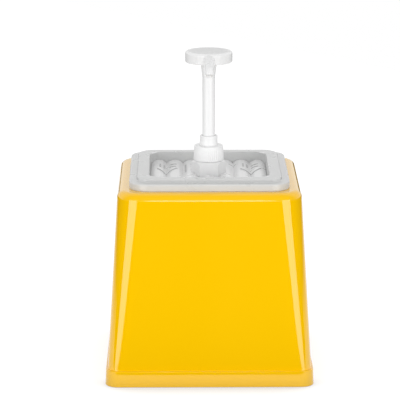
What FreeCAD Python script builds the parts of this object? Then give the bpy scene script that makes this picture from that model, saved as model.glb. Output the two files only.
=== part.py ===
"""Countertop sauce pump dispenser: a square tapered housing carries a lift-out container,
whose lid holds a press pump with a round knob and a forward-pointing spout.

Frame: millimetres, +Z up, origin on the surface the dispenser stands on, under the pump's axis.
The spout points along -Y.
"""
import FreeCAD, Part
import math
import os

from FreeCAD import Vector

# ---- driving dimensions ----------------------------------------------------------------------
# housing
FOOT_WIDTH = 200.0           # across the foot band at the bottom
FOOT_HEIGHT = 15.6
FOOT_DRAFT = 0.6             # how far each side of the band leans in
FOOT_STEP = 1.8              # how far the band stands out from the tapered body
FOOT_EDGE_CHAMFER = 0.6
HOUSING_HEIGHT = 186.5
HOUSING_SHOULDER = 11.15     # housing's top beside the lid, with its rounded edge
CORNER_RADIUS_LOW = 12.0
CORNER_RADIUS_HIGH = 23.0
TOP_EDGE_ROUND = 7.8
HOUSING_WALL = 2.5

# container that hangs in the housing by its rim
CONTAINER_WIDTH_LOW = 122.0
CONTAINER_WIDTH_HIGH = 140.0
CONTAINER_FLOOR_Z = 30.0     # underside of the container above the table
CONTAINER_CORNER_LOW = 15.0
CONTAINER_CORNER_HIGH = 19.0
CONTAINER_WALL = 2.0
CONTAINER_BOTTOM_CHAMFER = 3.0
CONTAINER_DROP_IN_GAP = 1.6  # between the container and the housing's opening, each side
RIM_REACH = 4.1             # how far the rim stands out from the container
RIM_HEIGHT = 4.8
RIM_LIP_THICKNESS = 1.8

# lid
LID_CORNER_RADIUS = 19.0
LID_WALL = 2.2
LID_RIM_GAP = 0.3            # between the lid's skirt and the container's rim, each side
LID_SKIRT_LIFT = 0.5         # skirt's lower edge above the housing
LID_EDGE_ROUND = 1.2
LEDGE_WIDTH = 7.5           # flange outside the plateau
PLATEAU_HEIGHT = 3.2
PLATEAU_CORNER_RADIUS = 16.0
PLATEAU_EDGE_ROUND = 1.0
WELL_SIDE_GAP = 7.9          # between the well's walls and the container's
WELL_DRAFT = 1.0             # how far each wall leans in down to the floor
WELL_CORNER_RADIUS = 14.0
WELL_DEPTH = 11.5            # plateau down to the valleys between the ribs
WELL_EDGE_ROUND = 1.0
RIB_COUNT = 7
RIB_RISE = 3.8               # crest above valley

# hexagonal boss and neck of the lid
HEX_HEIGHT = 16.0            # valleys up to the top of the boss
HEX_CAP_OVERHANG = 0.4       # cap's lower edge beyond the boss's flat top
HEX_CHAMFER_REACH = 2.9      # chamfer cone out to the corners
HEX_CHAMFER_DROP = 2.9       # chamfer cone down to the corners
NECK_WALL = 1.8
NECK_HEIGHT = 10.4
NECK_BORE_GAP = 0.3          # between the neck's bore and the pump cylinder

# screw cap
CAP_SKIRT_WALL = 1.4
CAP_THREAD_GAP = 0.3
CAP_DRAFT = 0.6              # how much smaller the radius is at the top
CAP_TOP_THICKNESS = 2.2
CAP_EDGE_ROUND = 0.9
CAP_LIFT = 0.3               # cap's lower edge above the hexagonal boss
CAP_GRIP_COUNT = 42
CAP_GRIP_DEPTH = 0.35

# pump
CYLINDER_RADIUS = 11.0
CYLINDER_WALL = 2.3
CYLINDER_LENGTH = 73.0
CYLINDER_FLOOR = 3.0
FLANGE_THICKNESS = 1.6       # clamped between the cap and the neck
COLLAR_WALL = 2.5
COLLAR_HEIGHT = 10.3         # above the screw cap
COLLAR_EDGE_ROUND = 0.5
COLLAR_MOUTH_FLARE = 0.95    # how far the bore opens at the top
COLLAR_MOUTH_DEPTH = 1.6
CAP_COLLAR_GAP = 0.2
INLET_WALL = 1.6
INLET_LENGTH = 8.0
DIP_TUBE_RADIUS = 4.0
DIP_TUBE_WALL = 1.0
DIP_TUBE_FLOOR_GAP = 4.0     # tube's lower end above the container's floor
RUNNING_GAP = 0.1            # stem and piston in their bores

# piston, stem and head
PISTON_LENGTH = 7.5
AXIAL_GAP = 0.3
SPIGOT_STEP = 1.75           # stem's lower end, which turns in the piston, inside the shaft
RETAINER_REACH = 1.0         # beyond the spigot
RETAINER_THICKNESS = 1.5
STEM_RADIUS = 6.15
STEM_SHOWING = 58.0          # collar up to the hub
STEM_BORE_RADIUS = 2.4
TENON_STEP = 1.65            # stem's upper end, fixed in the hub, inside the shaft
TENON_LENGTH = 10.0
HUB_LIP = 0.2                # hub's lower edge beyond the stem
HUB_FLARE = 1.35             # how much wider the hub is under the knob
HUB_HEIGHT = 13.2
KNOB_RADIUS = 22.95
KNOB_HEIGHT = 10.9           # side of the knob
KNOB_EDGE_ROUND = 2.4
KNOB_DISH_DEPTH = 1.6
KNOB_UNDERSIDE_DROP = 1.2    # hub side of the underside below its rim
SPOUT_AXIS_DROP = 6.2        # spout's axis below the top of the knob
SPOUT_ROOT_RADIUS = 5.6      # at the pump's axis
SPOUT_TIP_RADIUS = 3.85
SPOUT_STRAIGHT = 72.0        # pump's axis to the start of the bend
SPOUT_BEND_RADIUS = 8.0
SPOUT_BEND_DEGREES = 60.0
SPOUT_TIP_LENGTH = 0.5
SPOUT_BORE_ROOT_RADIUS = 2.9
SPOUT_BORE_RADIUS = 2.4

# ---- levels and sizes that follow from them ----------------------------------------------------
FOOT_TOP_WIDTH = FOOT_WIDTH - 2 * FOOT_DRAFT
BODY_WIDTH_LOW = FOOT_TOP_WIDTH - 2 * FOOT_STEP
RIM_WIDTH = CONTAINER_WIDTH_HIGH + 2 * RIM_REACH
LID_WIDTH = RIM_WIDTH + 2 * (LID_RIM_GAP + LID_WALL)
BODY_WIDTH_HIGH = LID_WIDTH + 2 * HOUSING_SHOULDER
OPENING_WIDTH = CONTAINER_WIDTH_HIGH + 2 * CONTAINER_DROP_IN_GAP
PLATEAU_WIDTH = LID_WIDTH - 2 * LEDGE_WIDTH
WELL_WIDTH = CONTAINER_WIDTH_HIGH - 2 * (CONTAINER_WALL + WELL_SIDE_GAP + LID_WALL)
GUIDE_RADIUS = STEM_RADIUS + RUNNING_GAP
COLLAR_RADIUS = GUIDE_RADIUS + COLLAR_WALL
CYLINDER_BORE_RADIUS = CYLINDER_RADIUS - CYLINDER_WALL
NECK_BORE_RADIUS = CYLINDER_RADIUS + NECK_BORE_GAP
NECK_RADIUS = NECK_BORE_RADIUS + NECK_WALL
CAP_RADIUS_LOW = NECK_RADIUS + CAP_THREAD_GAP + CAP_SKIRT_WALL
CAP_RADIUS_HIGH = CAP_RADIUS_LOW - CAP_DRAFT
HEX_TOP_RADIUS = CAP_RADIUS_LOW - HEX_CAP_OVERHANG
HEX_CORNER_RADIUS = HEX_TOP_RADIUS + HEX_CHAMFER_REACH
SPIGOT_RADIUS = STEM_RADIUS - SPIGOT_STEP
RETAINER_RADIUS = SPIGOT_RADIUS + RETAINER_REACH
TENON_RADIUS = STEM_RADIUS - TENON_STEP
HUB_RADIUS_LOW = STEM_RADIUS + HUB_LIP
HUB_RADIUS_HIGH = HUB_RADIUS_LOW + HUB_FLARE

RIM_TOP_Z = HOUSING_HEIGHT + RIM_HEIGHT
SKIRT_Z = HOUSING_HEIGHT + LID_SKIRT_LIFT
FLANGE_TOP_Z = RIM_TOP_Z + LID_WALL
PLATEAU_Z = FLANGE_TOP_Z + PLATEAU_HEIGHT
VALLEY_Z = PLATEAU_Z - WELL_DEPTH
HEX_TOP_Z = VALLEY_Z + HEX_HEIGHT
NECK_TOP_Z = HEX_TOP_Z + NECK_HEIGHT
FLANGE_SEAT_Z = NECK_TOP_Z + FLANGE_THICKNESS
CAP_LOW_Z = HEX_TOP_Z + CAP_LIFT
CAP_TOP_Z = FLANGE_SEAT_Z + CAP_TOP_THICKNESS
COLLAR_TOP_Z = CAP_TOP_Z + COLLAR_HEIGHT
CYLINDER_LOW_Z = NECK_TOP_Z - CYLINDER_LENGTH
PISTON_TOP_Z = NECK_TOP_Z - AXIAL_GAP
PISTON_LOW_Z = PISTON_TOP_Z - PISTON_LENGTH
RETAINER_TOP_Z = PISTON_LOW_Z - AXIAL_GAP
HUB_LOW_Z = COLLAR_TOP_Z + STEM_SHOWING
HUB_TOP_Z = HUB_LOW_Z + HUB_HEIGHT
KNOB_LOW_Z = HUB_TOP_Z + KNOB_UNDERSIDE_DROP
KNOB_TOP_Z = KNOB_LOW_Z + KNOB_HEIGHT
SPOUT_AXIS_Z = KNOB_TOP_Z - SPOUT_AXIS_DROP

CUT_MARGIN = 1.0             # how far a cutting solid runs past the face it opens
SAME_PLACE = 1e-4            # two levels closer than this are one
UP = Vector(0, 0, 1)


# ---- shared shapes -----------------------------------------------------------------------------
def rounded_square(width, corner_radius, z):
    """Closed wire: a square with round corners, centred on the Z axis."""
    half = width / 2
    inner = half - corner_radius
    diagonal = inner + corner_radius * math.sqrt(0.5)
    edges = []
    for quarter in range(4):
        turn = math.radians(90 * quarter)

        def at(x, y):
            return Vector(x * math.cos(turn) - y * math.sin(turn), x * math.sin(turn) + y * math.cos(turn), z)

        edges.append(Part.LineSegment(at(half, -inner), at(half, inner)).toShape())
        edges.append(Part.Arc(at(half, inner), at(diagonal, diagonal), at(inner, half)).toShape())
    return Part.Wire(edges)


def square_prism(width, corner_radius, z_low, z_high):
    """Upright block with round vertical corners."""
    return Part.Face(rounded_square(width, corner_radius, z_low)).extrude(UP * (z_high - z_low))


def flat_sided(low_points, high_points):
    """Solid between two polygons in level planes, with a flat side over each pair of edges."""
    faces = []
    for ring in (low_points, high_points):
        faces.append(Part.Face(Part.makePolygon(ring + [ring[0]])))
    count = len(low_points)
    for index in range(count):
        after = (index + 1) % count
        side = [low_points[index], low_points[after], high_points[after], high_points[index]]
        faces.append(Part.Face(Part.makePolygon(side + [side[0]])))
    shell = Part.Shell(faces)
    shell.sewShape()
    return Part.makeSolid(shell)


def square_taper(low, high):
    """Block between two rounded squares, each given as (width, corner radius, z), radii unequal.

    Each upright corner is a right circular cone that touches both walls, so its apex lies on the
    line where the two walls would meet.
    """
    (low_width, low_radius, low_z), (high_width, high_radius, high_z) = low, high
    height = high_z - low_z
    spread = (high_radius - low_radius) / height
    lean = (low_width - high_width) / 2 / height
    apex_z = low_z - low_radius / spread
    apex_half = low_width / 2 + lean * (low_z - apex_z)
    apex = Vector(apex_half, apex_half, apex_z)
    axis = Vector(-lean - spread, -lean - spread, 1).normalize()
    wall_inward = Vector(-1, 0, -lean).normalize()
    slope = axis.dot(wall_inward)
    touching = axis - wall_inward * slope

    def touch_point(z):
        """Where the corner's cone leaves the wall on the +X side."""
        return apex + touching * ((z - apex_z) / touching.z)

    def mirrored(point):
        return Vector(point.y, point.x, point.z)

    def octagon(z):
        points = []
        for quarter in range(4):
            for corner in (touch_point(z), mirrored(touch_point(z))):
                placed = FreeCAD.Rotation(UP, 90 * quarter).multVec(corner)
                points.append(placed)
        return points

    core = flat_sided(octagon(low_z), octagon(high_z))
    from_apex = [(z - apex_z) / axis.z for z in (low_z - low_radius, high_z + high_radius)]
    radii = [abs(distance) * math.tan(math.asin(abs(slope))) for distance in from_apex]
    cone = Part.makeCone(*radii, from_apex[1] - from_apex[0], apex + axis * from_apex[0], axis)
    outward = Vector(1, 1, 0) * (low_radius + high_radius)

    def beyond_chord(z):
        start = touch_point(z)
        return [start, start + outward, mirrored(start) + outward, mirrored(start)]

    corner = cone.common(flat_sided(beyond_chord(low_z), beyond_chord(high_z)))
    corners = []
    for quarter in range(4):
        turned_corner = corner.copy()
        turned_corner.rotate(Vector(0, 0, 0), UP, 90 * quarter)
        corners.append(turned_corner)
    return core.fuse(corners).removeSplitter()


def turned(profile):
    """Solid of revolution about the Z axis from (radius, z) points."""
    points = [Vector(radius, 0, z) for radius, z in profile]
    outline = Part.makePolygon(points + [points[0]])
    return Part.Face(outline).revolve(Vector(0, 0, 0), UP, 360)


def cylinder(radius, z_low, z_high):
    return Part.makeCylinder(radius, z_high - z_low, Vector(0, 0, z_low))


def edges_at(shape, z, within=math.inf):
    """Edges that lie in the level z and reach no farther than a distance along X or Y."""
    found = []
    for edge in shape.Edges:
        points = edge.discretize(5)
        level = all(abs(point.z - z) < SAME_PLACE for point in points)
        if level and all(max(abs(point.x), abs(point.y)) <= within for point in points):
            found.append(edge)
    return found


def body_width(z):
    """Width of the housing's tapered body at a level."""
    share = (z - FOOT_HEIGHT) / (HOUSING_HEIGHT - FOOT_HEIGHT)
    return BODY_WIDTH_LOW + (BODY_WIDTH_HIGH - BODY_WIDTH_LOW) * share


def container_width(z):
    """Outside width of the container at a level."""
    share = (z - CONTAINER_FLOOR_Z) / (HOUSING_HEIGHT - CONTAINER_FLOOR_Z)
    return CONTAINER_WIDTH_LOW + (CONTAINER_WIDTH_HIGH - CONTAINER_WIDTH_LOW) * share


# ---- sub-parts ---------------------------------------------------------------------------------
def make_housing():
    """Tapered cover, open below, with a foot band and an opening in its top for the container."""
    foot = square_taper(
        (FOOT_WIDTH, CORNER_RADIUS_LOW + FOOT_DRAFT, 0), (FOOT_TOP_WIDTH, CORNER_RADIUS_LOW, FOOT_HEIGHT)
    )
    foot = foot.makeChamfer(FOOT_EDGE_CHAMFER, edges_at(foot, FOOT_HEIGHT))
    body = square_taper(
        (BODY_WIDTH_LOW, CORNER_RADIUS_LOW, FOOT_HEIGHT),
        (BODY_WIDTH_HIGH, CORNER_RADIUS_HIGH, HOUSING_HEIGHT),
    )
    body = body.makeFillet(TOP_EDGE_ROUND, edges_at(body, HOUSING_HEIGHT))
    ceiling_z = HOUSING_HEIGHT - HOUSING_WALL
    hollow = square_taper(
        (body_width(0) - 2 * HOUSING_WALL, CORNER_RADIUS_LOW - HOUSING_WALL, 0),
        (body_width(ceiling_z) - 2 * HOUSING_WALL, CORNER_RADIUS_HIGH - HOUSING_WALL, ceiling_z),
    )
    # without this the hollow's edge would come close to the rounded edge outside
    hollow = hollow.makeChamfer(TOP_EDGE_ROUND / 2, edges_at(hollow, ceiling_z))
    opening = square_prism(
        OPENING_WIDTH, CONTAINER_CORNER_HIGH, ceiling_z - CUT_MARGIN, HOUSING_HEIGHT + CUT_MARGIN
    )
    return foot.fuse(body).cut(hollow).cut(opening).removeSplitter()


def make_container():
    """Tapered tub with a turned-down rim that hangs on the housing's top."""
    high_width = container_width(RIM_TOP_Z)
    tub = square_taper(
        (CONTAINER_WIDTH_LOW, CONTAINER_CORNER_LOW, CONTAINER_FLOOR_Z),
        (high_width, CONTAINER_CORNER_HIGH, RIM_TOP_Z),
    )
    tub = tub.makeChamfer(CONTAINER_BOTTOM_CHAMFER, edges_at(tub, CONTAINER_FLOOR_Z))
    floor_z = CONTAINER_FLOOR_Z + CONTAINER_WALL
    room = square_taper(
        (container_width(floor_z) - 2 * CONTAINER_WALL, CONTAINER_CORNER_LOW - CONTAINER_WALL, floor_z),
        (high_width - 2 * CONTAINER_WALL, CONTAINER_CORNER_HIGH - CONTAINER_WALL, RIM_TOP_Z),
    )
    room = room.makeChamfer(CONTAINER_BOTTOM_CHAMFER, edges_at(room, floor_z))
    rim_corner = LID_CORNER_RADIUS - LID_WALL - LID_RIM_GAP
    rim = square_prism(RIM_WIDTH, rim_corner, HOUSING_HEIGHT, RIM_TOP_Z)
    under_rim = square_prism(
        RIM_WIDTH - 2 * RIM_LIP_THICKNESS,
        rim_corner - RIM_LIP_THICKNESS,
        HOUSING_HEIGHT - CUT_MARGIN,
        RIM_TOP_Z - CONTAINER_WALL,
    )
    return rim.cut(under_rim).fuse(tub).cut(room).removeSplitter()


def rib_section(level_shift, closing_z):
    """Face in the XZ plane under a chain of round-backed ribs, closed by a straight lower edge."""
    pitch = WELL_WIDTH / RIB_COUNT
    start_x = -WELL_WIDTH / 2
    valley = VALLEY_Z + level_shift
    edges = []
    for index in range(RIB_COUNT):
        left = Vector(start_x + pitch * index, 0, valley)
        crest = Vector(start_x + pitch * (index + 0.5), 0, valley + RIB_RISE)
        right = Vector(start_x + pitch * (index + 1), 0, valley)
        edges.append(Part.Arc(left, crest, right).toShape())
    corners = [(WELL_WIDTH / 2, valley), (WELL_WIDTH / 2, closing_z), (start_x, closing_z), (start_x, valley)]
    for (x0, z0), (x1, z1) in zip(corners, corners[1:]):
        edges.append(Part.LineSegment(Vector(x0, 0, z0), Vector(x1, 0, z1)).toShape())
    return Part.Face(Part.Wire(edges))


def along_well(section):
    """Section in the XZ plane run along the whole length of the well, front to back."""
    section.translate(Vector(0, -WELL_WIDTH / 2, 0))
    return section.extrude(Vector(0, WELL_WIDTH, 0))


def make_hex_boss():
    """Hexagonal boss with a nut-like chamfer and the neck for the screw cap."""
    low_z = VALLEY_Z - LID_WALL
    corners = []
    for index in range(6):
        angle = math.radians(60 * index)
        corners.append(Vector(HEX_CORNER_RADIUS * math.cos(angle), HEX_CORNER_RADIUS * math.sin(angle), low_z))
    prism = Part.Face(Part.makePolygon(corners + [corners[0]])).extrude(UP * (HEX_TOP_Z - low_z))
    chamfer_z = HEX_TOP_Z - HEX_CHAMFER_DROP
    envelope = turned([
        (0, low_z), (HEX_CORNER_RADIUS, low_z), (HEX_CORNER_RADIUS, chamfer_z),
        (HEX_TOP_RADIUS, HEX_TOP_Z), (0, HEX_TOP_Z),
    ])
    return prism.common(envelope).fuse(cylinder(NECK_RADIUS, HEX_TOP_Z, NECK_TOP_Z))


def make_lid():
    """Snap-over lid: skirt, raised plateau, ribbed well and the pump's boss, in one moulding."""
    flange = square_prism(LID_WIDTH, LID_CORNER_RADIUS, SKIRT_Z, FLANGE_TOP_Z)
    flange = flange.makeFillet(LID_EDGE_ROUND, edges_at(flange, FLANGE_TOP_Z))
    plateau = square_prism(PLATEAU_WIDTH, PLATEAU_CORNER_RADIUS, RIM_TOP_Z, PLATEAU_Z)
    plateau = plateau.makeFillet(PLATEAU_EDGE_ROUND, edges_at(plateau, PLATEAU_Z))
    floor_low_z = VALLEY_Z - LID_WALL
    low_width = WELL_WIDTH - 2 * WELL_DRAFT
    low_radius = WELL_CORNER_RADIUS - WELL_DRAFT
    well_walls = square_taper(
        (low_width + 2 * LID_WALL, low_radius + LID_WALL, floor_low_z),
        (WELL_WIDTH + 2 * LID_WALL, WELL_CORNER_RADIUS + LID_WALL, PLATEAU_Z),
    )
    rim_pocket = square_prism(
        LID_WIDTH - 2 * LID_WALL, LID_CORNER_RADIUS - LID_WALL, SKIRT_Z - CUT_MARGIN, RIM_TOP_Z
    )
    plateau_pocket = square_prism(
        PLATEAU_WIDTH - 2 * LID_WALL, PLATEAU_CORNER_RADIUS - LID_WALL, RIM_TOP_Z, PLATEAU_Z - LID_WALL
    )
    shell = flange.fuse(plateau).cut(rim_pocket.fuse(plateau_pocket)).fuse(well_walls)

    well = square_taper(
        (low_width, low_radius, floor_low_z), (WELL_WIDTH, WELL_CORNER_RADIUS, PLATEAU_Z)
    )
    ribbed_floor = along_well(rib_section(0, floor_low_z - CUT_MARGIN))
    rib_undersides = along_well(rib_section(-LID_WALL, floor_low_z - CUT_MARGIN))
    shell = shell.cut(well.cut(ribbed_floor)).cut(well.common(rib_undersides))
    shell = shell.makeFillet(WELL_EDGE_ROUND, edges_at(shell, PLATEAU_Z, WELL_WIDTH / 2 + SAME_PLACE))
    bore = cylinder(NECK_BORE_RADIUS, floor_low_z - CUT_MARGIN, NECK_TOP_Z + CUT_MARGIN)
    return shell.fuse(make_hex_boss()).cut(bore).removeSplitter()


def make_screw_cap():
    """Cap that clamps the pump to the lid's neck, with a ring of grip grooves."""
    ceiling_z = FLANGE_SEAT_Z
    outside = turned([(0, CAP_LOW_Z), (CAP_RADIUS_LOW, CAP_LOW_Z), (CAP_RADIUS_HIGH, CAP_TOP_Z), (0, CAP_TOP_Z)])
    outside = outside.makeFillet(CAP_EDGE_ROUND, edges_at(outside, CAP_TOP_Z))
    thread_room = cylinder(NECK_RADIUS + CAP_THREAD_GAP, CAP_LOW_Z - CUT_MARGIN, ceiling_z)
    collar_hole = cylinder(COLLAR_RADIUS + CAP_COLLAR_GAP, ceiling_z - CUT_MARGIN, CAP_TOP_Z + CUT_MARGIN)
    cap = outside.cut(thread_room).cut(collar_hole)
    pitch_angle = 360 / CAP_GRIP_COUNT
    groove_width = math.radians(pitch_angle) * CAP_RADIUS_LOW * 0.5
    lean = math.degrees(math.atan((CAP_RADIUS_LOW - CAP_RADIUS_HIGH) / (CAP_TOP_Z - CAP_LOW_Z)))
    groove_height = CAP_TOP_Z - CAP_LOW_Z - 2 * CAP_EDGE_ROUND
    grooves = []
    for index in range(CAP_GRIP_COUNT):
        groove = Part.makeBox(2 * CAP_GRIP_DEPTH, groove_width, groove_height)
        groove.translate(Vector(-CAP_GRIP_DEPTH, -groove_width / 2, 0))
        groove.rotate(Vector(0, 0, 0), Vector(0, 1, 0), -lean)
        groove.translate(Vector(CAP_RADIUS_LOW, 0, CAP_LOW_Z))
        groove.rotate(Vector(0, 0, 0), UP, pitch_angle * index)
        grooves.append(groove)
    return cap.cut(Part.Compound(grooves))


def make_pump_body():
    """Cylinder below the lid, clamping flange, guide collar above the cap, and inlet socket."""
    floor_z = CYLINDER_LOW_Z + CYLINDER_FLOOR
    inlet_low_z = CYLINDER_LOW_Z - INLET_LENGTH
    inlet_radius = DIP_TUBE_RADIUS + INLET_WALL
    mouth_z = COLLAR_TOP_Z - COLLAR_MOUTH_DEPTH
    return turned([
        (STEM_BORE_RADIUS, floor_z),
        (CYLINDER_BORE_RADIUS, floor_z),
        (CYLINDER_BORE_RADIUS, NECK_TOP_Z),
        (GUIDE_RADIUS, NECK_TOP_Z),
        (GUIDE_RADIUS, mouth_z),
        (GUIDE_RADIUS + COLLAR_MOUTH_FLARE, COLLAR_TOP_Z),
        (COLLAR_RADIUS - COLLAR_EDGE_ROUND, COLLAR_TOP_Z),
        (COLLAR_RADIUS, COLLAR_TOP_Z - COLLAR_EDGE_ROUND),
        (COLLAR_RADIUS, FLANGE_SEAT_Z),
        (NECK_RADIUS, FLANGE_SEAT_Z),
        (NECK_RADIUS, NECK_TOP_Z),
        (CYLINDER_RADIUS, NECK_TOP_Z),
        (CYLINDER_RADIUS, CYLINDER_LOW_Z),
        (inlet_radius, CYLINDER_LOW_Z),
        (inlet_radius, inlet_low_z),
        (DIP_TUBE_RADIUS, inlet_low_z),
        (DIP_TUBE_RADIUS, CYLINDER_LOW_Z),
        (STEM_BORE_RADIUS, CYLINDER_LOW_Z),
    ])


def make_dip_tube():
    """Tube from the pump's inlet down to just above the container's floor."""
    low_z = CONTAINER_FLOOR_Z + CONTAINER_WALL + DIP_TUBE_FLOOR_GAP
    tube = cylinder(DIP_TUBE_RADIUS, low_z, CYLINDER_LOW_Z)
    return tube.cut(cylinder(DIP_TUBE_RADIUS - DIP_TUBE_WALL, low_z - CUT_MARGIN, CYLINDER_LOW_Z + CUT_MARGIN))


def make_piston():
    """Sealing ring that slides in the cylinder and lets the stem turn."""
    ring = cylinder(CYLINDER_BORE_RADIUS - RUNNING_GAP, PISTON_LOW_Z, PISTON_TOP_Z)
    return ring.cut(cylinder(SPIGOT_RADIUS + RUNNING_GAP, PISTON_LOW_Z - CUT_MARGIN, PISTON_TOP_Z + CUT_MARGIN))


def make_stem():
    """Hollow stem: retained spigot in the piston, guided shaft, and tenon in the head's hub."""
    retainer_low_z = RETAINER_TOP_Z - RETAINER_THICKNESS
    return turned([
        (STEM_BORE_RADIUS, retainer_low_z),
        (RETAINER_RADIUS, retainer_low_z),
        (RETAINER_RADIUS, RETAINER_TOP_Z),
        (SPIGOT_RADIUS, RETAINER_TOP_Z),
        (SPIGOT_RADIUS, NECK_TOP_Z),
        (STEM_RADIUS, NECK_TOP_Z),
        (STEM_RADIUS, HUB_LOW_Z),
        (TENON_RADIUS, HUB_LOW_Z),
        (TENON_RADIUS, HUB_LOW_Z + TENON_LENGTH),
        (STEM_BORE_RADIUS, HUB_LOW_Z + TENON_LENGTH),
    ])


def make_knob():
    """Round press knob with a dished top and a tapered hub below."""
    rim_z = KNOB_TOP_Z
    flat_radius = KNOB_RADIUS - KNOB_EDGE_ROUND
    corner = KNOB_EDGE_ROUND * (1 - math.sqrt(0.5))
    low_round = KNOB_EDGE_ROUND / 2
    low_corner = low_round * (1 - math.sqrt(0.5))

    def point(radius, z):
        return Vector(radius, 0, z)

    def line(start, end):
        return Part.LineSegment(point(*start), point(*end)).toShape()

    def arc(start, middle, end):
        return Part.Arc(point(*start), point(*middle), point(*end)).toShape()

    edges = [
        line((0, HUB_LOW_Z), (HUB_RADIUS_LOW, HUB_LOW_Z)),
        line((HUB_RADIUS_LOW, HUB_LOW_Z), (HUB_RADIUS_HIGH, HUB_TOP_Z)),
        line((HUB_RADIUS_HIGH, HUB_TOP_Z), (KNOB_RADIUS - low_round, KNOB_LOW_Z)),
        arc(
            (KNOB_RADIUS - low_round, KNOB_LOW_Z),
            (KNOB_RADIUS - low_corner, KNOB_LOW_Z + low_corner),
            (KNOB_RADIUS, KNOB_LOW_Z + low_round),
        ),
        line((KNOB_RADIUS, KNOB_LOW_Z + low_round), (KNOB_RADIUS, rim_z - KNOB_EDGE_ROUND)),
        arc(
            (KNOB_RADIUS, rim_z - KNOB_EDGE_ROUND),
            (KNOB_RADIUS - corner, rim_z - corner),
            (flat_radius, rim_z),
        ),
        line((flat_radius, rim_z), (0, rim_z)),
        line((0, rim_z), (0, HUB_LOW_Z)),
    ]
    blank = Part.Face(Part.Wire(edges)).revolve(Vector(0, 0, 0), UP, 360)
    dish_radius = (flat_radius ** 2 + KNOB_DISH_DEPTH ** 2) / (2 * KNOB_DISH_DEPTH)
    dish_centre = Vector(0, 0, rim_z - KNOB_DISH_DEPTH + dish_radius)
    return blank.cut(Part.makeSphere(dish_radius, dish_centre, Vector(1, 0, 0)))


def spout_run(root_radius, tip_radius, behind):
    """Round bar along the spout: a taper along -Y, which starts behind the pump's axis, a bend
    downwards, and the place and direction of the straight tip."""
    axis_at = Vector(0, 0, SPOUT_AXIS_Z)
    forward = Vector(0, -1, 0)
    bend_start = axis_at + forward * SPOUT_STRAIGHT
    straight = Part.makeCone(
        root_radius, tip_radius, SPOUT_STRAIGHT + behind, axis_at - forward * behind, forward
    )
    disc = Part.Face(Part.Wire(Part.makeCircle(tip_radius, bend_start, forward)))
    bend_centre = bend_start - UP * SPOUT_BEND_RADIUS
    bend = disc.revolve(bend_centre, Vector(1, 0, 0), SPOUT_BEND_DEGREES)
    angle = math.radians(SPOUT_BEND_DEGREES)
    outward = Vector(0, -math.cos(angle), -math.sin(angle))
    tip_start = bend_centre + Vector(0, -math.sin(angle), math.cos(angle)) * SPOUT_BEND_RADIUS
    return straight, bend, tip_start, outward


def make_head():
    """Knob, hub and spout in one moulding, with the channel from the stem to the mouth."""
    straight, bend, tip_start, outward = spout_run(SPOUT_ROOT_RADIUS, SPOUT_TIP_RADIUS, 0)
    tip = Part.makeCylinder(SPOUT_TIP_RADIUS, SPOUT_TIP_LENGTH, tip_start, outward)
    head = make_knob().fuse([straight, bend, tip])
    bore, bore_bend, bore_tip_start, _ = spout_run(
        SPOUT_BORE_ROOT_RADIUS, SPOUT_BORE_RADIUS, SPOUT_BORE_ROOT_RADIUS
    )
    bore_tip = Part.makeCylinder(SPOUT_BORE_RADIUS, SPOUT_TIP_LENGTH + CUT_MARGIN, bore_tip_start, outward)
    socket = cylinder(TENON_RADIUS, HUB_LOW_Z - CUT_MARGIN, HUB_LOW_Z + TENON_LENGTH)
    riser = cylinder(SPOUT_BORE_RADIUS, HUB_LOW_Z + TENON_LENGTH - CUT_MARGIN, SPOUT_AXIS_Z)
    channel = bore.fuse([bore_bend, bore_tip, riser, socket])
    return head.cut(channel).removeSplitter()


NODES = {
    "housing": make_housing,
    "container": make_container,
    "lid": make_lid,
    "screw_cap": make_screw_cap,
    "pump_body": make_pump_body,
    "dip_tube": make_dip_tube,
    "piston": make_piston,
    "stem": make_stem,
    "pump_head": make_head,
}


def main():
    os.makedirs("parts", exist_ok=True)
    for name, make in NODES.items():
        shape = make()
        shape.exportStep("parts/" + name + ".step")
        box = shape.BoundBox
        print(
            f"{name}: valid {shape.isValid()}, solids {len(shape.Solids)}, volume {shape.Volume:.0f}, "
            f"x {box.XMin:.2f}..{box.XMax:.2f}, y {box.YMin:.2f}..{box.YMax:.2f}, z {box.ZMin:.2f}..{box.ZMax:.2f}"
        )


main()
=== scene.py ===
"""Looks of a countertop sauce pump dispenser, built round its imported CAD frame.

Blender pieces replace the housing, the lid, the screw cap and the pump head with finer surfaces of
the same size. The container and the inner pump parts stay as the CAD has them and get a finish.
Metres, +Z up, origin on the counter under the pump's axis, spout along -Y.
"""

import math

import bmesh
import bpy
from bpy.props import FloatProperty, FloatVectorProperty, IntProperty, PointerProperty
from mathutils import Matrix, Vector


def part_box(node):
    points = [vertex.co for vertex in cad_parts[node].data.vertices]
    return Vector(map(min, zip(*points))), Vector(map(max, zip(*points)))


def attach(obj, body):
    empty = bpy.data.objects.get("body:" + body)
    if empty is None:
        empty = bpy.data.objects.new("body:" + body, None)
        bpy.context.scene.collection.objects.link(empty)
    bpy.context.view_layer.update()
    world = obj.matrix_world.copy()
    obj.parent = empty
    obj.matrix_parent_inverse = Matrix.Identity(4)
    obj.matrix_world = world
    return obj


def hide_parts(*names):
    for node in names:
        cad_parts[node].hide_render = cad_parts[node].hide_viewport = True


bl_info = {
    "name": "Sauce pump dispenser",
    "version": (1, 0, 0),
    "blender": (4, 5, 0),
    "location": "View3D > Sidebar > Dispenser",
    "description": "Builds the housing, lid, screw cap and pump head of a countertop sauce dispenser",
    "category": "Add Mesh",
}

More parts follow.
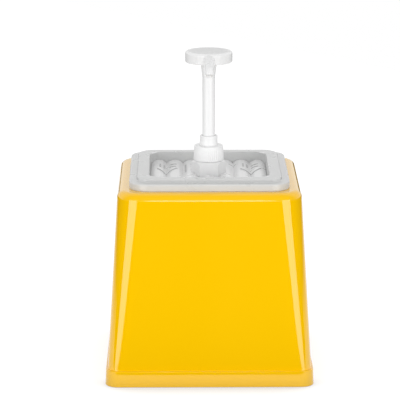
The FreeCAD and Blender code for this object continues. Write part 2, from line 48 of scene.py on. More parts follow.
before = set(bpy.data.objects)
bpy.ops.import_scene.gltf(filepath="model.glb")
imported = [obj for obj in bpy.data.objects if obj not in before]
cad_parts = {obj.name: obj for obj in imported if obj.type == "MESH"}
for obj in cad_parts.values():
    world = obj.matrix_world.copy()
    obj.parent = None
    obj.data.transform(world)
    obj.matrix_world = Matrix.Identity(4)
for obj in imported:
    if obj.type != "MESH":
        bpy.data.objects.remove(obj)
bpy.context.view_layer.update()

HOUSING_LOW, HOUSING_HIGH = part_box("housing")
LID_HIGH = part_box("lid")[1]
CAP_LOW, CAP_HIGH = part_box("screw_cap")
HEAD_LOW, HEAD_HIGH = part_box("pump_head")

CAP_RISE = 0.0006            # screw cap's top above the CAD one
NECK_WALL = 0.0018
WELD = 1e-6                  # points nearer than this become one
GRAIN = 260.0                # grains of the satin plastics per metre
BLACK = (0.0, 0.0, 0.0)
WHITE = (1.0, 1.0, 1.0)
CAMERA_AT = (-0.02813, -2.18227, 0.67233)
CAMERA_AIM = (-0.00843, 0.0, 0.16056)
SENSOR_WIDTH = 36.0          # mm


# ---- properties --------------------------------------------------------------------------------
def length(name, description, default):
    """Size in metres."""
    return FloatProperty(
        name=name, description=description, default=default, min=0.0, precision=5, unit="LENGTH"
    )


def amount(name, description, default, **limits):
    """Plain number that isn't negative."""
    return FloatProperty(name=name, description=description, default=default, min=0.0, **limits)


def colour(name, description, default):
    """Red, green and blue, each from 0 to 1."""
    return FloatVectorProperty(
        name=name, description=description, default=default, size=3, min=0.0, max=1.0, subtype="COLOR"
    )


class HousingSettings(bpy.types.PropertyGroup):
    """Sizes and colour of the outer housing."""

    foot_width: length("Foot width", "Across the foot band at the counter", HOUSING_HIGH.x - HOUSING_LOW.x)
    foot_height: length("Foot height", "Top of the foot band", 0.0156)
    height: length("Height", "Top of the housing", HOUSING_HIGH.z)
    foot_draft: length("Foot draft", "How far each side of the band leans in", 0.0006)
    foot_step: length("Foot step", "How far the band stands out from the body", 0.0018)
    top_width: length("Top width", "Across the body where its sides would meet the top", 0.1755)
    corner_low: length("Low corner radius", "Upright corners at the foot", 0.012)
    corner_high: length("High corner radius", "Upright corners at the top", 0.023)
    top_round: length("Top edge round", "Radius of the edge round the top", 0.0078)
    opening_width: length("Opening width", "Across the opening that the container hangs in", 0.1432)
    opening_corner: length("Opening corner radius", "Corners of the opening", 0.019)
    wall: length("Wall", "Thickness of the moulding", 0.0025)
    plastic: colour("Plastic", "Colour of the glossy housing", (1.0, 0.575, 0.0))


class LidSettings(bpy.types.PropertyGroup):
    """Sizes and colour of the lid and its moulded marks."""

    flange_top: length("Flange top", "Level of the flange round the plateau", 0.1935)
    flange_round: length("Flange edge round", "Radius of the flange's upper edge", 0.0012)
    plateau_top: length("Plateau top", "Level of the plateau", 0.1967)
    plateau_width: length("Plateau width", "Across the plateau", 0.1382)
    plateau_corner: length("Plateau corner radius", "Corners of the plateau", 0.016)
    corner: length("Corner radius", "Corners of the flange", 0.019)
    well_width: length("Well width", "Across the recess at the plateau", 0.1158)
    well_corner: length("Well corner radius", "Corners of the recess", 0.014)
    well_draft: length("Well draft", "How far each wall leans in down to the floor", 0.001)
    valley: length("Valley level", "Lowest lines between the ribs", 0.1852)
    rib_rise: length("Rib rise", "Crests above the valleys", 0.0038)
    rib_count: IntProperty(name="Ribs", description="Number of rounded ribs in the recess", default=7, min=1)
    wall: length("Wall", "Thickness of the moulding", 0.0022)
    hex_top: length("Boss top", "Level of the hexagonal boss", 0.2012)
    hex_corner: length("Boss corner radius", "Pump's axis to the boss's corners", 0.0173)
    hex_flat: length("Boss top radius", "Radius of the boss's flat top", 0.0144)
    neck: length("Neck radius", "Outside radius of the neck", 0.0131)
    plastic: colour("Plastic", "Colour of the undyed plastic", (0.67, 0.675, 0.67))
    mark_width: length("Mark width", "Width of a raised mark's line", 0.0015)
    mark_height: length("Mark height", "How far the marks stand up", 0.0006)


class CapSettings(bpy.types.PropertyGroup):
    """Sizes of the screw cap."""

    low_radius: length("Low radius", "Outside radius at the lower edge", 0.0148)
    high_radius: length("High radius", "Outside radius at the top", 0.0142)
    wall: length("Wall", "Thickness of the skirt", 0.0014)
    top_thickness: length("Top thickness", "Thickness of the top", 0.0022)
    hole_radius: length("Hole radius", "Opening round the pump's collar", 0.00895)
    edge_round: length("Edge round", "Radius of the shoulder", 0.0012)
    grip_count: IntProperty(name="Grips", description="Number of upright grip ribs", default=42, min=8)
    grip_depth: length("Grip depth", "Depth of the grooves between the grips", 0.00045)


class HeadSettings(bpy.types.PropertyGroup):
    """Sizes of the pump's head and the white plastic's colour."""

    knob_radius: length("Knob radius", "Outside radius of the press knob", 0.02295)
    knob_side: length("Knob side", "Height of the knob's side", 0.0109)
    edge_round: length("Edge round", "Radius of the knob's upper edge", 0.0024)
    dish_depth: length("Dish depth", "Hollow of the knob's top", 0.0016)
    hub_low_radius: length("Low hub radius", "Hub's radius over the stem", 0.00635)
    hub_high_radius: length("High hub radius", "Hub's radius under the knob", 0.0077)
    spout_drop: length("Spout drop", "Spout's axis below the top of the knob", 0.0062)
    spout_root: length("Spout root radius", "Spout's radius at the pump's axis", 0.0056)
    spout_tip: length("Spout tip radius", "Spout's radius at its end", 0.00385)
    spout_straight: length("Spout length", "Pump's axis to the start of the bend", 0.072)
    spout_bend: length("Bend radius", "Radius of the bend's middle line", 0.008)
    spout_turn: FloatProperty(
        name="Bend angle", description="How far the tip turns down", default=math.radians(60), unit="ROTATION"
    )
    plastic: colour("Plastic", "Colour of the white plastic", (0.93, 0.93, 0.93))


class StageSettings(bpy.types.PropertyGroup):
    """Camera, floor and light."""

    floor_width: length("Floor width", "Across the floor, which runs further to the back", 1.6)
    floor_front: length("Floor front", "How far the floor runs in front of the pump's axis", 0.155)
    floor_glow: amount("Floor glow", "Brightness of the floor to the eye", 0.86)
    contact_shade: amount("Contact shade", "Share of the glow left next to the foot", 0.6, max=1.0)
    lens: FloatProperty(
        name="Lens", description="Focal length on a 36 mm sensor, in mm", default=205.38, min=1.0
    )
    front_power: amount("Front power", "Each front softbox", 6.8, unit="POWER")
    strip_power: amount("Strip power", "Narrow front light", 1.0, unit="POWER")
    fill: amount("Fill", "Even light from all round", 0.62)
    overhead: amount("Overhead", "Extra light from straight above", 0.2)
    dark_front: amount("Dark front", "Share of the backdrop that gloss mirrors in front", 0.2)
    dark_side: amount("Dark side", "What gloss mirrors below the floor's level", 0.03)


class DispenserSettings(bpy.types.PropertyGroup):
    """Everything that the panel shows."""

    housing: PointerProperty(type=HousingSettings)
    lid: PointerProperty(type=LidSettings)
    cap: PointerProperty(type=CapSettings)
    head: PointerProperty(type=HeadSettings)
    stage: PointerProperty(type=StageSettings)


# ---- meshes ------------------------------------------------------------------------------------
def turns(start, end, steps):
    """Angles in radians from start to end degrees, both included."""
    return [math.radians(start + (end - start) * step / steps) for step in range(steps + 1)]


def edge_arc(half, corner, z, radius, start, end, steps=6):
    """Rounded edge of a square profile: (half width, corner radius, z) points round a centre."""
    return [
        (half + radius * math.cos(angle), corner + radius * math.cos(angle), z + radius * math.sin(angle))
        for angle in turns(start, end, steps)
    ]


def lathe_arc(out, z, radius, start, end, steps=6):
    """Rounded edge of a turned profile: (radius, z) points round a centre."""
    return [
        (out + radius * math.cos(angle), z + radius * math.sin(angle))
        for angle in turns(start, end, steps)
    ]


def square_ring(half, corner, z, corner_steps=12, side_steps=8):
    """Points round a square with round corners, anticlockwise from above."""
    inner = half - corner
    points = []
    for quarter in range(4):
        turn = Matrix.Rotation(math.radians(90 * quarter), 3, "Z")
        for step in range(side_steps):
            points.append(turn @ Vector((half, inner * (2 * step / side_steps - 1), z)))
        for angle in turns(0, 90, corner_steps)[:-1]:
            x, y = inner + corner * math.cos(angle), inner + corner * math.sin(angle)
            points.append(turn @ Vector((x, y, z)))
    return points


def round_ring(radius, z, steps):
    """Points round a circle, anticlockwise from above."""
    return [
        Vector((radius * math.cos(angle), radius * math.sin(angle), z))
        for angle in turns(0, 360, steps)[:-1]
    ]


def skin(name, rings, joined=False, capped=False):
    """Mesh object through rings of equally many points.

    joined also links the last ring to the first, capped closes the first and the last ring.
    """
    count = len(rings[0])
    faces = []
    for low in range(len(rings) if joined else len(rings) - 1):
        high = (low + 1) % len(rings)
        for here in range(count):
            after = (here + 1) % count
            lower, upper = low * count, high * count
            faces.append((lower + here, lower + after, upper + after, upper + here))
    if capped:
        faces.append(tuple(reversed(range(count))))
        faces.append(tuple(range((len(rings) - 1) * count, len(rings) * count)))
    mesh = bpy.data.meshes.new(name)
    mesh.from_pydata([point for ring in rings for point in ring], [], faces)
    piece = bpy.data.objects.new(name, mesh)
    bpy.context.collection.objects.link(piece)
    return piece


def merged(name, pieces):
    """One object from several, the rest of which go."""
    target = pieces[0]
    bm = bmesh.new()
    for piece in pieces:
        bm.from_mesh(piece.data)
    bm.to_mesh(target.data)
    bm.free()
    for piece in pieces[1:]:
        bpy.data.objects.remove(piece)
    target.name = name
    return target


def faced_out(mesh, weld=False):
    """Turns a closed mesh's faces outward, after joining its doubled points if asked."""
    bm = bmesh.new()
    bm.from_mesh(mesh)
    if weld:
        bmesh.ops.remove_doubles(bm, verts=bm.verts, dist=WELD)
    bmesh.ops.recalc_face_normals(bm, faces=bm.faces)
    bm.to_mesh(mesh)
    bm.free()


def smooth(piece, sharp_above=38):
    """Smooth shading with clean flats: normals follow the larger faces, and sharp edges stay."""
    mesh = piece.data
    faced_out(mesh, weld=True)
    for polygon in mesh.polygons:
        polygon.use_smooth = True
    mesh.set_sharp_from_angle(angle=math.radians(sharp_above))
    weighted = piece.modifiers.new("weighted_normals", "WEIGHTED_NORMAL")
    weighted.keep_sharp = True
    weighted.weight = 90


def carved(first, second, operation="UNION"):
    """First piece joined with the second, or cut by it, as one closed skin; the second goes."""
    for piece in (first, second):
        faced_out(piece.data)
    carving = first.modifiers.new("carving", "BOOLEAN")
    carving.operation = operation
    carving.solver = "EXACT"
    carving.object = second
    depsgraph = bpy.context.evaluated_depsgraph_get()
    mesh = bpy.data.meshes.new_from_object(first.evaluated_get(depsgraph))
    first.modifiers.remove(carving)
    first.data = mesh
    bpy.data.objects.remove(second)
    return first


def coated(piece, finish):
    """Gives a piece its only material."""
    piece.data.materials.clear()
    piece.data.materials.append(finish)


def placed(piece, body, slot, finish, *nodes):
    """Gives a new piece its material and body, and hides the CAD nodes it stands for; the slot is not used.
    """
    coated(piece, finish)
    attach(piece, body)
    if nodes:
        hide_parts(*nodes)


# ---- finishes ----------------------------------------------------------------------------------
SEEN_RAYS = ("Is Camera Ray", "Is Glossy Ray", "Is Transmission Ray")


class Socket:
    """A shader value that Python arithmetic can use: each operator adds its Math node."""

    def __init__(self, finish, link):
        self.finish = finish
        self.link = link

    def maths(self, operation, *values):
        """Math node on any values, of which this one needn't be the first."""
        return self.finish.node("ShaderNodeMath", {"operation": operation}, dict(enumerate(values)))

    def __add__(self, other):
        return self.maths("ADD", self, other)

    def __rsub__(self, other):
        return self.maths("SUBTRACT", other, self)

    def __mul__(self, other):
        return self.maths("MULTIPLY", self, other)

    __radd__ = __add__

    def __abs__(self):
        return self.maths("ABSOLUTE", self)

    def larger(self, other):
        """The larger of this value and another."""
        return self.maths("MAXIMUM", self, other)


class Finish:
    """Material under construction, or a world's shader when given its node tree."""

    def __init__(self, name, tree=None):
        if tree is None:
            self.material = bpy.data.materials.new(name)
            self.material.use_nodes = True
            tree = self.material.node_tree
            self.shader = tree.nodes["Principled BSDF"]
        self.tree = tree
        self.place = self.node("ShaderNodeTexCoord", output="Object")

    def node(self, kind, settings=None, inputs=None, output=0):
        """Adds a node: its settings first, then the values or links of its sockets."""
        made = self.tree.nodes.new(kind)
        for key, value in (settings or {}).items():
            setattr(made, key, value)
        for key, value in (inputs or {}).items():
            self.feed(made.inputs[key], value)
        return Socket(self, made.outputs[output])

    def feed(self, target, value):
        """Links a shader value to a socket, or sets a constant on it."""
        if isinstance(value, Socket):
            self.tree.links.new(value.link, target)
        else:
            target.default_value = value

    def vector(self, operation, *values, output=0):
        """Vector Math node."""
        return self.node("ShaderNodeVectorMath", {"operation": operation}, dict(enumerate(values)), output)

    def along(self, axis, vector=None):
        """One coordinate of a vector, or of the point being shaded."""
        return self.node("ShaderNodeSeparateXYZ", None, {0: vector or self.place}, "XYZ".index(axis))

    def noise(self, scale, detail=3.0, stretch=(1, 1, 1)):
        """Cloudy value about 0.5, with a scale in features per metre."""
        place = self.vector("MULTIPLY", self.place, stretch)
        return self.node("ShaderNodeTexNoise", None, {"Vector": place, "Scale": scale, "Detail": detail})

    def blend(self, factor, first, second):
        """Colour between two others."""
        return self.node("ShaderNodeMix", {"data_type": "RGBA"}, {0: factor, 6: first, 7: second}, 2)

    def remap(self, value, low, high, new_low, new_high):
        """Value stretched from one range to another, and held inside it."""
        return self.node("ShaderNodeMapRange", None, {0: value, 1: low, 2: high, 3: new_low, 4: new_high})

    def rays(self):
        """Whether a ray comes from the camera, from gloss, or through something clear."""
        return [self.node("ShaderNodeLightPath", output=kind) for kind in SEEN_RAYS]

    def bump(self, height, distance, under=None):
        """Surface relief from a height, on top of other relief if given."""
        inputs = {"Height": height, "Distance": distance, "Strength": 1.0}
        if under is not None:
            inputs["Normal"] = under
        return self.node("ShaderNodeBump", None, inputs)

    def surface(self, **values):
        """Sets sockets of the shader; an underscore stands for a space in a socket's name."""
        for key, value in values.items():
            self.feed(self.shader.inputs[key.replace("_", " ")], value)
        return self.material


def shade(tint, factor):
    """Tint scaled by a factor, as a shader colour."""
    return (tint[0] * factor, tint[1] * factor, tint[2] * factor, 1.0)


def gloss_yellow(tint):
    """Glossy moulded plastic with faint flow marks, a trace of orange peel and a scuffed foot."""
    finish = Finish("housing_gloss")
    flow = finish.noise(14.0, 2.0, (1, 1, 0.35))
    foot = finish.remap(finish.along("Z"), 0.0, 0.016, 1.0, 0.0)
    scuffs = finish.noise(160.0, 5.0, (1, 1, 4.0))
    wear = finish.remap(scuffs, 0.56, 0.7, 0.0, 1.0) * foot
    base = finish.blend(flow, shade(tint, 0.965), shade(tint, 1.0))
    base = finish.blend(wear * 0.25, base, shade(tint, 0.9))
    peel = finish.bump(finish.noise(420.0, 1.0), 0.000012)
    waves = finish.bump(finish.noise(26.0, 1.0, (1, 1, 0.6)), 0.00008, peel)
    return finish.surface(
        Base_Color=base,
        Roughness=finish.remap(flow, 0.3, 0.7, 0.05, 0.08) + wear * 0.2,
        Coat_Weight=0.5,
        Coat_Roughness=0.04,
        Normal=waves,
    )


def lid_painted_light(finish, cloud, base, tint, lid):
    """The lid's painted light and shade: upward faces in the recess and the boss are painted lighter, and the
    plateau's slope is painted darker.
    """
    apart = finish.vector("ABSOLUTE", finish.place)
    outward = finish.along("X", apart).larger(finish.along("Y", apart))
    height = finish.along("Z", apart)
    normal = finish.node("ShaderNodeNewGeometry", output="Normal")
    facing_up = finish.remap(finish.along("Z", normal), 0.3, 0.5, 0.0, 1.0)
    boss = finish.remap(outward, lid.hex_corner, lid.hex_corner + 0.001, 1.0, 0.0)
    recess = lid.well_width / 2 - lid.well_draft - 0.0004
    inside = finish.remap(outward, recess - 0.0006, recess, 1.0, 0.0)
    # Painted light: the recess's upward faces and the boss get a whiter colour.
    painted_lit = inside * facing_up.larger(boss)
    base = finish.blend(painted_lit, base, finish.blend(cloud, shade(WHITE, 0.84), shade(WHITE, 0.9)))
    # Painted shade: the slope between the flange and the plateau gets a darker colour.
    above = finish.remap(height, lid.flange_top + 0.0002, lid.flange_top + 0.0008, 0.0, 1.0)
    below = finish.remap(height, lid.plateau_top - 0.0009, lid.plateau_top - 0.0004, 1.0, 0.0)
    edge = lid.plateau_width / 2
    outside = finish.remap(outward, edge - 0.002, edge - 0.001, 0.0, 1.0)
    return finish.blend(above * below * outside, base, shade(tint, 0.82))


def natural_plastic(name, tint, lid=None):
    """Satin undyed plastic with a cloudy tone and a faint moulded grain, and for the lid painted light and
    shade.
    """
    finish = Finish(name)
    cloud = finish.noise(55.0, 3.0)
    base = finish.blend(cloud, shade(tint, 0.96), shade(tint, 1.03))
    if lid is not None:
        base = lid_painted_light(finish, cloud, base, tint, lid)
    grain = finish.bump(finish.noise(GRAIN, 1.0), 0.00003)
    roughness = finish.remap(cloud, 0.3, 0.7, 0.26, 0.34)
    return finish.surface(Base_Color=base, Roughness=roughness, Coat_Weight=0.2, Normal=grain)


def white_plastic(name, tint, dish_level):
    """Satin white plastic with faint flow marks, and painted shade that darkens the hollow top of the press
    knob.
    """
    finish = Finish(name)
    flow = finish.noise(90.0, 2.0, (1, 1, 0.4))
    base = finish.blend(flow, shade(tint, 0.98), shade(tint, 1.0))
    out = finish.vector("LENGTH", finish.vector("MULTIPLY", finish.place, (1, 1, 0)), output="Value")
    near_top = finish.remap(finish.along("Z"), dish_level - 0.003, dish_level - 0.002, 0.0, 1.0)
    # Painted shade: the hollow in the knob's top gets a darker colour.
    painted_dish_shade = finish.remap(out, 0.018, 0.0205, 1.0, 0.0) * near_top
    base = finish.blend(painted_dish_shade, base, shade(tint, 0.84))
    grain = finish.bump(finish.noise(GRAIN, 1.0), 0.00002)
    return finish.surface(Base_Color=base, Roughness=finish.remap(flow, 0.3, 0.7, 0.27, 0.34), Normal=grain)


def pump_white():
    """The white plastic that the screw cap, the head and the pump share."""
    name = "pump_white"
    tint = bpy.context.scene.dispenser.head.plastic
    return bpy.data.materials.get(name) or white_plastic(name, tint, HEAD_HIGH.z)


# ---- pieces ------------------------------------------------------------------------------------
class DISPENSER_OT_housing(bpy.types.Operator):
    """Build the tapered housing with its foot band, rounded top edge and container opening"""

    bl_idname = "dispenser.housing"
    bl_label = "Housing"

    def execute(self, context):
        size = context.scene.dispenser.housing
        foot_low = size.foot_width / 2
        foot_high = foot_low - size.foot_draft
        body_low = foot_high - size.foot_step
        body_high = size.top_width / 2
        rise = size.height - size.foot_height
        edge = 0.0007

        def body(z):
            """Half width and corner radius of the body at a level."""
            share = (z - size.foot_height) / rise
            half = body_low + (body_high - body_low) * share
            return half, size.corner_low + (size.corner_high - size.corner_low) * share

        profile = edge_arc(foot_low - edge, size.corner_low + size.foot_draft - edge, edge, edge, -90, 0)
        profile += edge_arc(foot_high - edge, size.corner_low - edge, size.foot_height - edge, edge, 0, 90)
        crease = 0.0003
        half, corner = body(size.foot_height + crease)
        profile += edge_arc(half + crease, corner + crease, size.foot_height + crease, crease, -90, -180)
        top_centre = size.height - size.top_round
        rows = 12
        for step in range(1, rows):
            z = size.foot_height + crease + (top_centre - size.foot_height - crease) * step / rows
            profile.append((*body(z), z))
        half, corner = body(top_centre)
        top = size.top_round
        profile += edge_arc(half - top, corner - top, top_centre, top, 3, 90, 12)
        lip = 0.0006
        opening = size.opening_width / 2
        land, land_corner = 0.003, 0.002
        profile.append((opening + land, size.opening_corner + land_corner, size.height))
        profile += edge_arc(opening + lip, size.opening_corner + lip, size.height - lip, lip, 90, 180)
        ceiling = size.height - size.wall
        profile.append((opening, size.opening_corner, ceiling))
        half, corner = body(ceiling)
        inside = half - size.wall
        inside_corner = corner - size.wall
        fillet = size.top_round - size.wall
        profile += edge_arc(inside - fillet, inside_corner - fillet, ceiling - fillet, fillet, 90, 0)
        half, corner = body(0.0)
        profile.append((half - size.wall, corner - size.wall, 0.0))
        rings = [square_ring(*point, corner_steps=16) for point in profile]
        piece = skin("housing_shell", rings, joined=True)
        smooth(piece)
        placed(piece, "dispenser", "housing_plastic", gloss_yellow(size.plastic), "housing")
        return {"FINISHED"}


def rib_height(x, width, count, rise, softness=0.0005):
    """Height of the well's rounded ribs above the valleys, with softened valleys."""
    pitch = width / count
    radius = (rise ** 2 + (pitch / 2) ** 2) / (2 * rise)
    off = (x + width / 2) % pitch - pitch / 2
    height = rise - radius + math.sqrt(radius ** 2 - off ** 2)
    return (height + math.sqrt(height ** 2 + softness ** 2)) / 2


def lid_shell(size):
    """Flange, plateau and well walls of the lid, as one closed ring."""
    outer = LID_HIGH.x
    skirt = HOUSING_HIGH.z
    lip = 0.0003
    profile = edge_arc(outer - lip, size.corner - lip, skirt + lip, lip, -90, 0, 5)
    edge = size.flange_round
    profile += edge_arc(outer - edge, size.corner - edge, size.flange_top - edge, edge, 0, 90, 6)
    plateau = size.plateau_width / 2
    fillet = 0.0012
    lean = 0.0003
    foot, foot_corner = plateau + lean + fillet, size.plateau_corner + lean + fillet
    profile += edge_arc(foot, foot_corner, size.flange_top + fillet, fillet, 270, 180, 4)
    edge = 0.0011
    profile += edge_arc(plateau - edge, size.plateau_corner - edge, size.plateau_top - edge, edge, 5, 90, 6)
    well = size.well_width / 2
    edge = 0.0009
    profile += edge_arc(well + edge, size.well_corner + edge, size.plateau_top - edge, edge, 90, 176, 6)
    low = size.valley - size.wall
    inner, inner_corner = well - size.well_draft, size.well_corner - size.well_draft
    chamfer = 0.0002
    profile.append((inner, inner_corner, low + chamfer))
    profile.append((inner + size.wall, inner_corner + size.wall, low))
    ceiling = size.plateau_top - size.wall
    profile.append((well + size.wall, size.well_corner + size.wall, ceiling))
    profile.append((plateau - size.wall, size.plateau_corner - size.wall, ceiling))
    ceiling = size.flange_top - size.wall
    profile.append((plateau - size.wall, size.plateau_corner - size.wall, ceiling))
    profile.append((outer - size.wall, size.corner - size.wall, ceiling))
    profile.append((outer - size.wall, size.corner - size.wall, skirt))
    return skin("lid_shell", [square_ring(*point, corner_steps=14) for point in profile], joined=True)


def well_floor(size, columns=112):
    """Ribbed plate that runs a little way into the well's walls."""
    into_wall = 0.001
    half = size.well_width / 2 - size.well_draft + into_wall
    corner = size.well_corner
    rows = []
    for column in range(columns + 1):
        x = half * (2 * column / columns - 1)
        beyond = max(abs(x) - (half - corner), 0.0)
        reach = half - corner + math.sqrt(corner ** 2 - beyond ** 2)
        z = size.valley + rib_height(x, size.well_width, size.rib_count, size.rib_rise)
        rows.append([
            Vector((x, -reach, z)), Vector((x, reach, z)),
            Vector((x, reach, z - size.wall)), Vector((x, -reach, z - size.wall)),
        ])
    return skin("well_floor", rows, capped=True)


def hex_boss(size, steps=120):
    """Six-sided boss with a nut's chamfer, and the neck above it."""
    half_side, side = math.radians(30), math.radians(60)
    apothem = size.hex_corner * math.cos(half_side)
    blunting, blunt_angle = 0.006 * apothem, 0.05
    foot = size.valley - size.wall / 2
    low, edge, top = [], [], []
    for angle in turns(0, 360, steps)[:-1]:
        from_corner = abs((angle + half_side) % side - half_side)
        radius = apothem / math.cos(half_side - from_corner)
        radius -= blunting * math.exp(-from_corner / blunt_angle)
        x, y = math.cos(angle), math.sin(angle)
        low.append(Vector((radius * x, radius * y, foot)))
        edge.append(Vector((radius * x, radius * y, size.hex_top - (radius - size.hex_flat))))
        top.append(Vector((size.hex_flat * x, size.hex_flat * y, size.hex_top)))
    neck = [round_ring(size.neck, z, steps) for z in (size.hex_top, LID_HIGH.z)]
    bore = [round_ring(size.neck - NECK_WALL, z, steps) for z in (LID_HIGH.z, foot)]
    return skin("hex_boss", [low, edge, top, *neck, *bore], joined=True)


def raised_line(size, points, step=0.0006):
    """Thin moulded line over the ribs along a chain of (x, y) points."""
    places = []
    for start, end in zip(points, points[1:]):
        start, end = Vector(start), Vector(end)
        count = max(1, round((end - start).length / step))
        places += [start.lerp(end, index / count) for index in range(count)]
    places.append(Vector(points[-1]))
    half, sink = size.mark_width / 2, -0.0008
    shoulder, crown = size.mark_height * 0.6, half * 0.6
    section = (
        (-half, sink), (-half, shoulder), (-crown, size.mark_height),
        (crown, size.mark_height), (half, shoulder), (half, sink),
    )
    rings = []
    for index, place in enumerate(places):
        ahead = places[min(index + 1, len(places) - 1)] - places[max(index - 1, 0)]
        across = Vector((-ahead.y, ahead.x)).normalized()
        ring = []
        for out, rise in section:
            x, y = place + across * out
            z = size.valley + rib_height(x, size.well_width, size.rib_count, size.rib_rise)
            ring.append(Vector((x, y, z + rise)))
        rings.append(ring)
    return skin("raised_line", rings, capped=True)


# lines of the raised marks, each a chain of (x, y) points
CHEVRONS = (
    ((-0.050, 0.0144), (-0.042, 0.0006), (-0.031, 0.0167)),
    ((0.0316, 0.0125), (0.0421, -0.0004), (0.0514, 0.0144)),
)
SHORT_BARS = (
    ((-0.0475, 0.0235), (-0.0475, 0.036)),
    ((-0.0435, 0.0235), (-0.0435, 0.036)),
    ((-0.0385, 0.0245), (-0.0315, 0.0245)),
    ((-0.0385, 0.0345), (-0.0315, 0.0345)),
    ((-0.0225, 0.006), (-0.0225, 0.038)),
    ((-0.0175, 0.010), (-0.0115, 0.010)),
    ((-0.0175, 0.022), (-0.0115, 0.022)),
    ((-0.0175, 0.034), (-0.0115, 0.034)),
    ((0.0345, 0.0245), (0.0345, 0.037)),
    ((0.0385, 0.0245), (0.0385, 0.037)),
    ((0.0425, 0.0245), (0.0495, 0.0245)),
    ((0.0425, 0.0345), (0.0495, 0.0345)),
)


class DISPENSER_OT_lid(bpy.types.Operator):
    """Build the lid with its ribbed recess, hexagonal boss and moulded marks"""

    bl_idname = "dispenser.lid"
    bl_label = "Lid"

    def execute(self, context):
        size = context.scene.dispenser.lid
        finish = natural_plastic("lid_natural", size.plastic, size)
        below_floor = size.valley - 0.02
        bore = [round_ring(size.neck - NECK_WALL, z, 120) for z in (below_floor, LID_HIGH.z)]
        floor = carved(well_floor(size), skin("pump_bore", bore, capped=True), "DIFFERENCE")
        shell = merged("lid_moulding", [lid_shell(size), floor, hex_boss(size)])
        smooth(shell, 32)
        placed(shell, "dispenser", "natural_plastic", finish, "lid")
        marks = merged("lid_marks", [raised_line(size, line) for line in (*CHEVRONS, *SHORT_BARS)])
        smooth(marks, 50)
        # Painted shade: the raised marks get a darker copy of the lid's plastic.
        darker = Vector(size.plastic) * 0.8
        placed(marks, "dispenser", "natural_plastic", natural_plastic("mark_painted_shade", darker))
        return {"FINISHED"}


class DISPENSER_OT_container(bpy.types.Operator):
    """Finish the container and the dip tube, which keep their CAD shape"""

    bl_idname = "dispenser.container"
    bl_label = "Container and dip tube"

    def execute(self, context):
        finish = natural_plastic("container_natural", context.scene.dispenser.lid.plastic)
        for node in ("container", "dip_tube"):
            coated(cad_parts[node], finish)
        return {"FINISHED"}


class DISPENSER_OT_screw_cap(bpy.types.Operator):
    """Build the screw cap with its ring of grips"""

    bl_idname = "dispenser.screw_cap"
    bl_label = "Screw cap"

    def execute(self, context):
        size = context.scene.dispenser.cap
        low, high = CAP_LOW.z, CAP_HIGH.z + CAP_RISE
        edge = size.edge_round
        lip = 0.0003
        steps = size.grip_count * 8
        outer_low = size.low_radius
        profile = lathe_arc(outer_low - lip, low + lip, lip, -90, 0, 3)
        plain_band = 0.0006
        grips_end = high - edge - plain_band
        first_grip_row = len(profile)
        for share in (step / 10 for step in range(1, 10)):
            radius = outer_low + (size.high_radius - outer_low) * share
            profile.append((radius, low + lip + (grips_end - low) * share))
        after_grips = len(profile)
        profile += lathe_arc(size.high_radius - edge, high - edge, edge, 0, 90, 8)
        profile += lathe_arc(size.hole_radius + lip, high - lip, lip, 90, 180, 3)
        ceiling = high - size.top_thickness
        profile.append((size.hole_radius, ceiling))
        profile.append((outer_low - size.wall, ceiling))
        profile.append((outer_low - size.wall, low))
        rings = []
        for index, (radius, z) in enumerate(profile):
            ring = round_ring(radius, z, steps)
            if first_grip_row <= index < after_grips:
                rows_to_end = min(index - first_grip_row + 1, after_grips - index)
                fade = min(1.0, rows_to_end / 1.5)
                for spot, point in enumerate(ring):
                    wave = 0.5 - 0.5 * math.cos(math.radians(360 * size.grip_count * spot / steps))
                    cut = size.grip_depth * wave ** 2 * fade
                    point.xy *= (radius - cut) / radius
            rings.append(ring)
        piece = skin("screw_cap_shell", rings, joined=True)
        smooth(piece, 60)
        placed(piece, "dispenser", "white_plastic", pump_white(), "screw_cap")
        return {"FINISHED"}


def tube_rings(path, steps):
    """Rings square to a path in the YZ plane, given as (centre y, centre z, turn down, radius)."""
    rings = []
    for y, z, turn, radius in path:
        centre = Vector((0, y, z))
        up = Vector((0, -math.sin(turn), math.cos(turn)))
        ring = []
        for angle in turns(0, 360, steps)[:-1]:
            sideways = Vector((radius * math.cos(angle), 0, 0))
            ring.append(centre + up * radius * math.sin(angle) + sideways)
        rings.append(ring)
    return rings


def knob_and_hub(size):
    """Round press knob with its dished top, and the hub below it with the stem's socket."""
    knob_top = HEAD_HIGH.z
    knob_low = knob_top - size.knob_side
    hub_low = HEAD_LOW.z
    rim = size.edge_round
    flat = size.knob_radius - rim
    dish_radius = (flat ** 2 + size.dish_depth ** 2) / (2 * size.dish_depth)
    dish_centre = knob_top - size.dish_depth + dish_radius
    reach = math.asin(flat / dish_radius)
    rows = 9
    profile = []
    for step in range(1, rows):
        angle = reach * step / rows
        profile.append((dish_radius * math.sin(angle), dish_centre - dish_radius * math.cos(angle)))
    profile += lathe_arc(flat, knob_top - rim, rim, 90, 0, 8)
    low_round = rim / 2
    profile += lathe_arc(size.knob_radius - low_round, knob_low + low_round, low_round, 0, -90, 5)
    fillet, underside_drop = 0.0012, 0.0012
    under = knob_low - underside_drop
    profile += lathe_arc(size.hub_high_radius + fillet, under - fillet, fillet, 90, 175, 5)
    edge = 0.0005
    profile += lathe_arc(size.hub_low_radius - edge, hub_low + edge, edge, 0, -90, 4)
    socket_radius, socket_depth = 0.0045, 0.01
    profile += [(socket_radius, hub_low), (socket_radius, hub_low + socket_depth)]
    rings = [round_ring(radius, z, 96) for radius, z in profile]
    return skin("pump_head_shell", list(reversed(rings)), capped=True)


